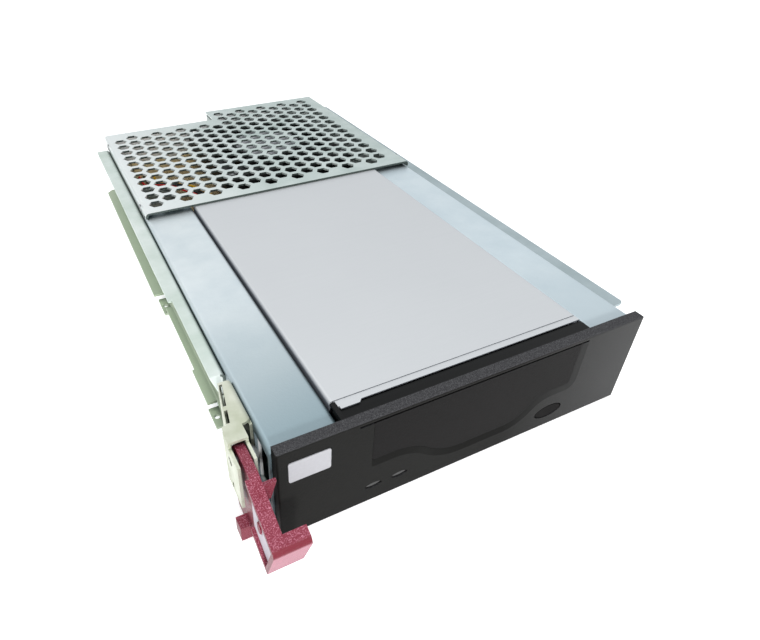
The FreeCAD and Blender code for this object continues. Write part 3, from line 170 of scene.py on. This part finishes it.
def fading(node, axis, full, gone, tint):
    """A painted light and shade tint along a node: where it is full and where it has gone, as shares of the
    node's box.
    """
    k = "XYZ".index(axis)
    low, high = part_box(node)
    length = high[k] - low[k]
    return axis, low[k] + full * length, low[k] + gone * length, linear(tint)


# Finishes

wear_gain = 1.36
wear_lift = 0.0012


def zinc(name, light, dark, fold, rough, patch, metallic=0.6, edge=None, fade=None):
    """Plated sheet: cloudy patches of two tints, a fine pickled grain and painted shade in folds.

    edge is a tint painted on faces that look to the front, painted light on the tray and painted shade on
    the cover, and fade a painted light and shade tint towards one end."""
    look = Look(name)
    clouds = look.noise(patch, detail=4.0, rough=0.6).ramp(0.35, 0.68)
    grain = look.noise(900.0, detail=2.0, rough=0.6)
    waves = look.noise(patch * 0.4, detail=2.0)
    color = look.mix(clouds, linear(light), linear(dark))
    # painted light and shade: a tint that grows towards one end of the piece
    if fade:
        color = look.faded(color, fade)
    if edge:
        # painted light and shade: faces that look to the front take the edge tint
        color = look.mix(look.frontal(0.55, 0.85), color, linear(edge))
    # painted shade: the crease tint where ambient occlusion finds folds, gaps and the undersides of edges
    color = look.mix(look.open_air(0.005).ramp(0.15, 0.75), linear(fold), color)
    look.set(Base_Color=color, Metallic=metallic)
    look.set(Roughness=rough + 0.12 * clouds + 0.1 * grain)
    look.set(Normal=look.bump(grain + 0.6 * waves, strength=0.12, distance=0.0004))
    return look.material


def plastic(name, code, rough, grain=1800.0, depth=0.25, shine=0.5, top=None, fold=None, fade=None):
    """Moulded plastic with a fine spark-eroded grain.

    top is two tints of grainy upper faces, partly the real grain and partly painted light from above, fold
    the tint of painted shade in gaps, and fade a painted light and shade tint towards one end."""
    look = Look(name)
    base = linear(code)
    worn = tuple(min(1.0, wear_gain * c + wear_lift) for c in base[:3]) + (1.0,)
    fine = look.noise(grain, detail=2.0, rough=0.7)
    cloud = look.noise(40.0)
    color = look.mix(0.5 * fine + 0.5 * cloud, base, worn)
    # painted light and shade: a tint that grows towards one end of the piece
    if fade:
        color = look.faded(color, fade)
    # partly painted light: upper faces take lighter grainy tints, as lit from above
    if top:
        deep, bright = top
        specks = look.noise(3600.0, detail=1.0).ramp(0.4, 0.75)
        grainy = look.mix(specks, linear(deep), linear(bright))
        color = look.mix(look.facing("Z").ramp(0.5, 0.9), color, grainy)
    # painted shade: the crease tint in gaps, found by ambient occlusion
    if fold:
        color = look.mix(look.open_air(0.0015).ramp(0.2, 0.8), linear(fold), color)
    look.set(Base_Color=color, IOR=1.5, Specular_IOR_Level=shine)
    look.set(Roughness=rough + 0.14 * fine)
    look.set(Normal=look.bump(fine, strength=depth, distance=0.0003))
    return look.material


def sparkling(name, deep, bright, rough):
    """Moulded plastic whose coarse grain catches the light in bright specks, but not on rounded ridges,
    with front faces painted lighter as lit from the front.
    """
    look = Look(name)
    specks = look.noise(2600.0, detail=1.0, rough=0.6).ramp(0.5, 0.78)
    cloud = look.noise(60.0)
    upward = look.facing("Z")
    lower = upward.ramp(0.1, -0.2)
    flat = upward.ramp(0.75, 0.88) + lower
    # painted light: faces that look to the front are painted lighter, on top of the grain specks
    pale = 0.7 * specks + 0.15 * cloud + 0.32 * look.frontal(0.3, 0.6) * lower
    look.set(Base_Color=look.mix(pale * flat, linear(deep), linear(bright)), Specular_IOR_Level=0.35)
    look.set(Roughness=rough + 0.15 * specks)
    look.set(Normal=look.bump(specks, strength=0.35, distance=0.0003))
    return look.material


def satin(name, light, dark, rough, metallic, side=None):
    """Satin sheet with very faint rolling lines; its bent-down sides can be painted darker as shade."""
    look = Look(name)
    lines = look.noise(1.0, detail=4.0, rough=0.6, where=look.stretched(60.0, 1500.0, 60.0))
    cloud = look.noise(14.0)
    color = look.mix(0.35 * lines + 0.65 * cloud, linear(light), linear(dark))
    # painted shade: faces that turn away from upward take the darker tint
    if side:
        color = look.mix(look.facing("Z").ramp(0.3, 0.9), linear(side), color)
    look.set(Base_Color=color, Metallic=metallic, Roughness=rough + 0.1 * lines)
    look.set(Normal=look.bump(lines, strength=0.04, distance=0.0002))
    return look.material


def board(name, lacquer, track):
    """Circuit board with its tracks showing through the lacquer."""
    look = Look(name)
    tracks = look.noise(240.0, detail=1.0, rough=0.4).ramp(0.48, 0.52)
    look.set(Base_Color=look.mix(tracks, linear(lacquer), linear(track)), Roughness=0.4)
    return look.material


def ribbed(name, light, dark, pitch):
    """Flat cable: one ridge per conductor along X."""
    look = Look(name)
    angle = look.axis("X") * (2 * math.pi / pitch)
    ridge = look.node("ShaderNodeMath", {"operation": "SINE"}, {0: angle}).ramp(-1.0, 1.0)
    look.set(Base_Color=look.mix(ridge, linear(dark), linear(light)), Roughness=0.5)
    look.set(Normal=look.bump(ridge, strength=0.5, distance=0.0004))
    return look.material


# Each finish with the nodes that have it

# Painted light and shade along pieces: painted shade low on the left runner, painted reflections towards
# the front of the brackets, painted light at the left end of the cover and a painted sheen at the right end
# of the bezel
left_runner_fade = fading("left_runner", "Z", 0.1765, 0.8382, "b7c3ac")
left_bracket_fade = fading("left_bracket", "Y", 0.0446, 0.4908, "97aab1")
right_bracket_fade = fading("right_bracket", "Y", -0.0287, 0.338, "c2d0d6")
cover_fade = fading("rear_cover", "X", -0.0053, 0.5, "eef3f2")
bezel_fade = fading("front_bezel", "X", 1.0228, 0.6005, "484848")

finishes = [
    # painted light: the tray's front-facing faces, such as the inner face of the rear wall, are painted
    # near-white
    (zinc("tray_zinc", "c9d1ce", "afbab6", fold="2c312e", rough=0.34, patch=55.0, metallic=0.4,
          edge="f4f6f6"),
     ["tray_pan", "front_fan_cradle", "rear_fan_cradle"]),
    (zinc("left_runner_zinc", "e6eeea", "cbd8cf", fold="55635a", rough=0.34, patch=40.0,
          fade=left_runner_fade),
     ["left_runner"]),
    (zinc("right_runner_zinc", "b4c2c6", "a0afb2", fold="55635a", rough=0.34, patch=40.0),
     ["right_runner"]),
    # painted shade with a teal painted reflection in the folds, where the gap to the runner lies in shade
    (zinc("left_bracket_zinc", "e4ecee", "d2dce0", fold="1f4048", rough=0.34, patch=34.0,
          fade=left_bracket_fade),
     ["left_bracket"]),
    (zinc("right_bracket_zinc", "dae6eb", "cad8df", fold="1f2c2c", rough=0.34, patch=34.0,
          fade=right_bracket_fade),
     ["right_bracket"]),
    # painted shade: the cover's front-facing edge is painted dark
    (zinc("cover_zinc", "d4dfdc", "bac8c4", fold="4c5752", rough=0.30, patch=48.0, edge="4a5350",
          fade=cover_fade),
     ["rear_cover"]),
    (zinc("latch_zinc", "d9dccd", "c0c5b0", fold="4c5346", rough=0.38, patch=80.0),
     ["latch_bracket"]),
    (zinc("fastener_steel", "c4c6c4", "9fa3a4", fold="50565a", rough=0.30, patch=160.0),
     ["runner_rivets", "cover_screws", "drive_screws", "latch_rivets", "lever_pin", "fan_screws"]),
    (satin("drive_cast", "8b8d92", "75787e", rough=0.45, metallic=0.6),
     ["drive_frame"]),
    # painted shade on the lid's bent-down sides
    (satin("lid_silver", "d0d3d5", "c6c9cc", rough=0.46, metallic=0.2, side="5a5d63"),
     ["drive_lid"]),
    (plastic("moulding_black", "080909", rough=0.30, grain=1200.0, depth=0.08, shine=0.2),
     ["front_moulding"]),
    # the bezel's upper faces painted lighter as lit from above, with painted shade in gaps and a painted
    # sheen towards the right end
    (plastic("bezel_charcoal", "181817", rough=0.40, shine=0.05, top=("363638", "5a5a5c"), fold="020202",
             fade=bezel_fade),
     ["front_bezel"]),
    (plastic("door_black", "131212", rough=0.38, shine=0.05, fold="020202"),
     ["tape_door"]),
    (plastic("button_charcoal", "0f0e0e", rough=0.42, depth=0.12, shine=0.03),
     ["eject_button"]),
    (plastic("badge_pale", "a4a4a8", rough=0.42, grain=900.0, depth=0.05),
     ["badge_plate"]),
    (plastic("window_smoke", "1d1d1c", rough=0.12, grain=600.0, depth=0.02),
     ["light_windows"]),
    (plastic("light_resin", "c4ccae", rough=0.3, grain=600.0, depth=0.02),
     ["status_lights"]),
    (board("board_green", lacquer="0d4a27", track="1a6b3a"),
     ["front_board", "main_board"]),
    (sparkling("lever_burgundy", "720b24", "dc92a8", rough=0.36),
     ["ejector_lever"]),
    (plastic("label_pale", "c9c3cc", rough=0.45, grain=700.0, depth=0.05),
     ["lever_label"]),
    (satin("deck_steel", "a9abae", "94979a", rough=0.35, metallic=0.9),
     ["mechanism_deck"]),
    (plastic("reel_acetal", "d5d5d0", rough=0.4, grain=900.0, depth=0.05),
     ["supply_reel_table", "takeup_reel_table"]),
    (satin("drum_metal", "c9cacd", "b3b5b9", rough=0.18, metallic=1.0),
     ["drum_base", "head_drum"]),
    (satin("cage_steel", "b1b3b6", "9a9da1", rough=0.3, metallic=0.95),
     ["cartridge_cage"]),
    (plastic("socket_black", "161616", rough=0.4),
     ["eject_switch", "data_socket", "ribbon_plug"]),
    (plastic("connector_beige", "c8b48a", rough=0.42),
     ["rear_connector"]),
    (plastic("plug_nylon", "dedcd2", rough=0.4),
     ["power_socket", "power_plug"]),
    (ribbed("ribbon_tan", "c9b58c", "a08c66", pitch=0.00127),
     ["ribbon_cable"]),
    (plastic("wire_red", "d8201c", rough=0.35, grain=700.0, depth=0.05),
     ["power_wire_red"]),
    (plastic("wire_yellow", "d9a514", rough=0.35, grain=700.0, depth=0.05),
     ["power_wire_yellow"]),
    (plastic("wire_black", "141414", rough=0.35, grain=700.0, depth=0.05),
     ["power_wires_black"]),
    (plastic("fan_black", "0f0f10", rough=0.46, shine=0.3),
     ["fan_frame", "fan_rotor"]),
    (plastic("fan_label_grey", "9da0a4", rough=0.4, grain=500.0, depth=0.05),
     ["fan_label"]),
]
for material, members in finishes:
    for member in members:
        mesh = nodes[member].data
        mesh.materials.clear()
        mesh.materials.append(material)


# Cross recesses on the screw heads, drawn as thin dark crosses of painted shade, one instance per screw

# painted shade: the dark colour of the cross recesses
recess_dark = plastic("recess_dark", "1a1b1c", rough=0.6, grain=900.0, depth=0.05, shine=0.2)
bar_width_share = 0.22
bar_thickness = 0.00006
cover_recess_length = 0.0022
fan_recess_length = 0.0034
merge_distance = 0.000001


def islands(item):
    """Boxes round the separate solids of a node, as (low, high) corners."""
    solids = bmesh.new()
    solids.from_mesh(item.data)
    bmesh.ops.remove_doubles(solids, verts=solids.verts, dist=merge_distance)
    boxes = []
    reached = set()
    for first in solids.verts:
        if first in reached:
            continue
        reached.add(first)
        group = [first]
        for vertex in group:
            for edge in vertex.link_edges:
                other = edge.other_vert(vertex)
                if other not in reached:
                    reached.add(other)
                    group.append(other)
        points = [item.matrix_world @ vertex.co for vertex in group]
        low = Vector([min(point[k] for point in points) for k in range(3)])
        high = Vector([max(point[k] for point in points) for k in range(3)])
        boxes.append((low, high))
    solids.free()
    return boxes


def recess_tree():
    """Node tree: two crossed dark bars of painted shade on every point, turned to face along the point's
    own direction.
    """
    tree = bpy.data.node_groups.new("cross_recess", "GeometryNodeTree")
    face = tree.interface
    face.new_socket("Geometry", in_out="INPUT", socket_type="NodeSocketGeometry")
    for name in ("Bar Length", "Bar Width", "Bar Depth"):
        face.new_socket(name, in_out="INPUT", socket_type="NodeSocketFloat")
    face.new_socket("Geometry", in_out="OUTPUT", socket_type="NodeSocketGeometry")
    graph = Graph(tree)

    def given(name):
        return graph.node("NodeGroupInput", {}, {}, name)

    def bar(across, along):
        sides = {"X": given(across), "Y": given(along), "Z": given("Bar Depth")}
        size = graph.node("ShaderNodeCombineXYZ", {}, sides)
        return graph.node("GeometryNodeMeshCube", {}, {"Size": size}, "Mesh")

    bars = [bar("Bar Length", "Bar Width"), bar("Bar Width", "Bar Length")]
    cross = graph.node("GeometryNodeJoinGeometry", {}, {"Geometry": bars})
    vector = {"data_type": "FLOAT_VECTOR"}
    facing = graph.node("GeometryNodeInputNamedAttribute", vector, {"Name": "facing"}, "Attribute")
    turn = graph.node("FunctionNodeAlignRotationToVector", {"axis": "Z"}, {"Vector": facing}, "Rotation")
    spread = {"Points": given("Geometry"), "Instance": cross, "Rotation": turn}
    crosses = graph.node("GeometryNodeInstanceOnPoints", {}, spread)
    real = graph.node("GeometryNodeRealizeInstances", {}, {"Geometry": crosses})
    coat = graph.node("GeometryNodeSetMaterial", {}, {"Geometry": real, "Material": recess_dark})
    graph.node("NodeGroupOutput", {}, {"Geometry": coat})
    return tree


def cross_recesses(name, node, axis, length):
    """Dark crosses of painted shade on the outer end of every screw of a node whose heads point out along
    one axis.
    """
    spots = []
    directions = []
    for low, high in islands(nodes[node]):
        spot = (low + high) / 2
        # Upright screws face up, and the others face away from the middle of the part.
        upright = axis == 2
        outward = Vector((0, 0, 0))
        outward[axis] = 1.0 if upright or spot[axis] > 0 else -1.0
        spot[axis] = high[axis] if outward[axis] > 0 else low[axis]
        spots.append(spot)
        directions.append(outward)
    points = bpy.data.meshes.new(name + "_spots")
    points.from_pydata(spots, [], [])
    facing = points.attributes.new("facing", "FLOAT_VECTOR", "POINT")
    for entry, outward in zip(facing.data, directions):
        entry.vector = outward
    holder = bpy.data.objects.new(name + "_spots", points)
    scene.collection.objects.link(holder)
    modifier = holder.modifiers.new("cross_recess", "NODES")
    modifier.node_group = recess_tree()
    sizes = {"Bar Length": length, "Bar Width": length * bar_width_share, "Bar Depth": bar_thickness}
    for item in modifier.node_group.interface.items_tree:
        if item.item_type == "SOCKET" and item.name in sizes:
            modifier[item.identifier] = sizes[item.name]
    depsgraph = bpy.context.evaluated_depsgraph_get()
    made = bpy.data.meshes.new_from_object(holder.evaluated_get(depsgraph))
    bpy.data.objects.remove(holder)
    piece = bpy.data.objects.new(name, made)
    scene.collection.objects.link(piece)
    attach(piece, "chassis")


cross_recesses("cover_screw_recesses", "cover_screws", axis=0, length=cover_recess_length)
cross_recesses("fan_screw_recesses", "fan_screws", axis=2, length=fan_recess_length)


# Stage: white floor, white surroundings and soft lights

floor_half_size = 6.0
floor_gap = 0.0002
floor_glow = 0.55
horizon_color = (0.62, 0.64, 0.66, 1.0)
zenith_color = (0.96, 0.98, 1.0, 1.0)
zenith_height = 0.6
sky_strength = 0.65
reflected_sky_extra = 0.25
lamp_aim = Vector((0, 0, 0.03))


def floor_plane():
    mesh = bpy.data.meshes.new("floor")
    signs = ((-1, -1), (1, -1), (1, 1), (-1, 1))
    corners = [(x * floor_half_size, y * floor_half_size, 0) for x, y in signs]
    mesh.from_pydata(corners, [], [(0, 1, 2, 3)])
    floor = bpy.data.objects.new("floor", mesh)
    scene.collection.objects.link(floor)
    floor.location.z = -floor_gap
    look = Look("floor_white")
    seen = look.light_path("Is Camera Ray") + look.light_path("Is Glossy Ray")
    look.set(Base_Color=(0.9, 0.9, 0.9, 1.0), Roughness=0.9, Specular_IOR_Level=0.1)
    look.set(Emission_Color=look.mix(seen, black, white), Emission_Strength=floor_glow)
    mesh.materials.append(look.material)


def surroundings():
    """White to the camera; as light, a pale sky, darker towards the horizon and brighter in reflections."""
    scene.world = bpy.data.worlds.new("studio")
    scene.world.use_nodes = True
    graph = Graph(scene.world.node_tree)
    graph.tree.nodes.clear()
    outward = graph.node("ShaderNodeTexCoord", {}, {}, "Generated")
    height = graph.node("ShaderNodeSeparateXYZ", {}, {0: outward}, "Z")
    sky = graph.mix(height.ramp(0.0, zenith_height), horizon_color, zenith_color)
    strength = sky_strength + reflected_sky_extra * graph.light_path("Is Glossy Ray")
    lit = graph.node("ShaderNodeBackground", {}, {"Color": sky, "Strength": strength})
    seen = graph.node("ShaderNodeBackground", {}, {"Color": white})
    camera_ray = graph.light_path("Is Camera Ray")
    both = graph.node("ShaderNodeMixShader", {}, {0: camera_ray, 1: lit, 2: seen})
    graph.node("ShaderNodeOutputWorld", {}, {"Surface": both})


def soft_light(name, place, size, power):
    data = bpy.data.lights.new(name, "AREA")
    data.shape = "DISK"
    data.size = size
    data.energy = power
    lamp = bpy.data.objects.new(name, data)
    scene.collection.objects.link(lamp)
    lamp.location = place
    lamp.rotation_mode = "QUATERNION"
    lamp.rotation_quaternion = (lamp_aim - Vector(place)).to_track_quat("-Z", "Y")


floor_plane()
surroundings()
soft_light("overhead", place=(-0.25, 0.15, 0.9), size=0.7, power=2.0)
soft_light("front_key", place=(-0.23, -1.0, 0.46), size=0.12, power=7.5)


# Camera placed where the photo was taken from

camera_place = Vector((-0.110591, -0.251901, 0.175048))
camera_tilt = math.radians(52.7793)
camera_roll = math.radians(-0.1151)
camera_heading = math.radians(-26.0697)

camera_data = bpy.data.cameras.new("camera")
camera_data.sensor_width = 36.0
camera_data.lens = 27.673
camera_data.shift_x = 0.07752
camera_data.shift_y = -0.01025
camera_data.clip_start = 0.01
camera_data.clip_end = 20.0
camera = bpy.data.objects.new("camera", camera_data)
scene.collection.objects.link(camera)
camera_turn = Euler((camera_tilt, camera_roll, camera_heading))
camera.matrix_world = Matrix.LocRotScale(camera_place, camera_turn, None)
scene.camera = camera
scene.view_settings.view_transform = "Standard"
